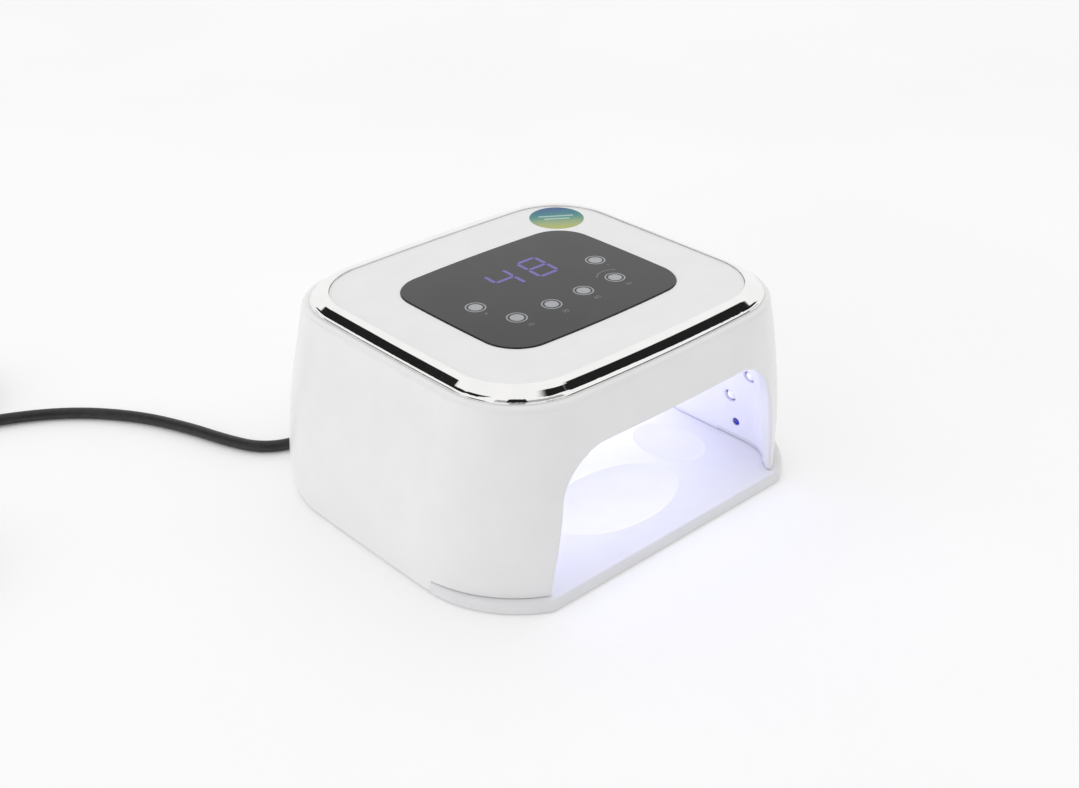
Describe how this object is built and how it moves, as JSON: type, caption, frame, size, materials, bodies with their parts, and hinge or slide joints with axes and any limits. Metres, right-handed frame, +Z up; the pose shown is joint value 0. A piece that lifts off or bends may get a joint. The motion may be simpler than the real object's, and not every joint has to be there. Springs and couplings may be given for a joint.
{
  "type": "uv led nail lamp",
  "caption": "Table-top nail curing lamp with a flared white housing, trim ring, touch panel, open hand chamber, sliding base tray and power lead.",
  "frame": {"origin": "middle of the lamp's footprint, on the table", "axes": "+Z up, -Y towards the open front where the hand goes in, +X to the user's right"},
  "size_m": [0.4089, 0.4046, 0.1],
  "materials": {
    "white_shell": "glossy injection moulded ABS",
    "chrome_trim": "chromium plated ABS, mirror finish",
    "panel_acrylic": "back-printed dark acrylic, polished",
    "adhesive_tape": "double-sided foam tape",
    "printed_vinyl": "printed vinyl, colour gradient",
    "circuit_board": "solder-masked glass epoxy",
    "display_plastic": "moulded display block",
    "conductive_foam": "conductive foam",
    "zinc_screw": "zinc plated steel",
    "chip_epoxy": "moulded epoxy",
    "capacitor_can": "sleeved aluminium can",
    "ferrite": "ferrite and tape",
    "connector_nylon": "natural nylon",
    "ribbon_pvc": "flat cable",
    "white_liner": "glossy white reflecting moulding",
    "led_board": "white solder mask",
    "led_lens": "clear violet silicone lens",
    "sensor_plastic": "dark infrared-passing plastic",
    "wire_pvc": "pvc insulated lead",
    "jack_plastic": "moulded nylon",
    "base_plastic": "textured ABS",
    "foot_rubber": "grey elastomer",
    "magnet_nickel": "nickel plated magnet",
    "white_tray": "glossy injection moulded ABS",
    "plated_barrel": "nickel plated brass",
    "plug_pvc": "overmoulded pvc",
    "cord_pvc": "satin pvc sheath",
    "tie_nylon": "hook-and-loop strap",
    "adapter_plastic": "fine-textured black polycarbonate"
  },
  "bodies": {
    "housing": {"outer_housing": "white_shell", "top_plate": "white_shell", "chrome_trim_ring": "chrome_trim", "touch_panel": "panel_acrylic", "panel_tape": "adhesive_tape", "round_sticker": "printed_vinyl", "display_board": "circuit_board", "control_board": "circuit_board", "adapter_board": "circuit_board", "digit_display": "display_plastic", "key_foam_pads": "conductive_foam", "display_screws": "zinc_screw", "control_screws": "zinc_screw", "led_board_screws": "zinc_screw", "bottom_screws": "zinc_screw", "control_chips": "chip_epoxy", "power_capacitors": "capacitor_can", "power_inductors": "ferrite", "adapter_transformer": "ferrite", "board_connectors": "connector_nylon", "board_link": "connector_nylon", "display_ribbon": "ribbon_pvc", "chamber_liner": "white_liner", "ceiling_led_board": "led_board", "right_led_board": "led_board", "left_led_board": "led_board", "rear_led_board": "led_board", "ceiling_leds": "led_lens", "right_leds": "led_lens", "left_leds": "led_lens", "rear_leds": "led_lens", "right_presence_sensor": "sensor_plastic", "left_presence_sensor": "sensor_plastic", "right_led_lead": "wire_pvc", "left_led_lead": "wire_pvc", "jack_lead": "wire_pvc", "power_jack": "jack_plastic", "bottom_frame": "base_plastic", "rubber_feet": "foot_rubber", "housing_magnets": "magnet_nickel", "plug_barrel": "plated_barrel", "adapter_prongs": "plated_barrel", "plug_body": "plug_pvc", "plug_strain_relief": "plug_pvc", "adapter_strain_relief": "plug_pvc", "power_cord": "cord_pvc", "cord_coil": "cord_pvc", "cord_tail": "cord_pvc", "cord_tie": "tie_nylon", "adapter_cover": "adapter_plastic", "adapter_base": "adapter_plastic"},
    "tray": {"base_tray": "white_tray", "tray_magnets": "magnet_nickel", "tray_pads": "foot_rubber"}
  },
  "joints": [
    {"name": "tray_slide", "type": "slide", "parent": "housing", "child": "tray", "axis": [0, -1, 0], "range_m": [0, 0.19]}
  ]
}
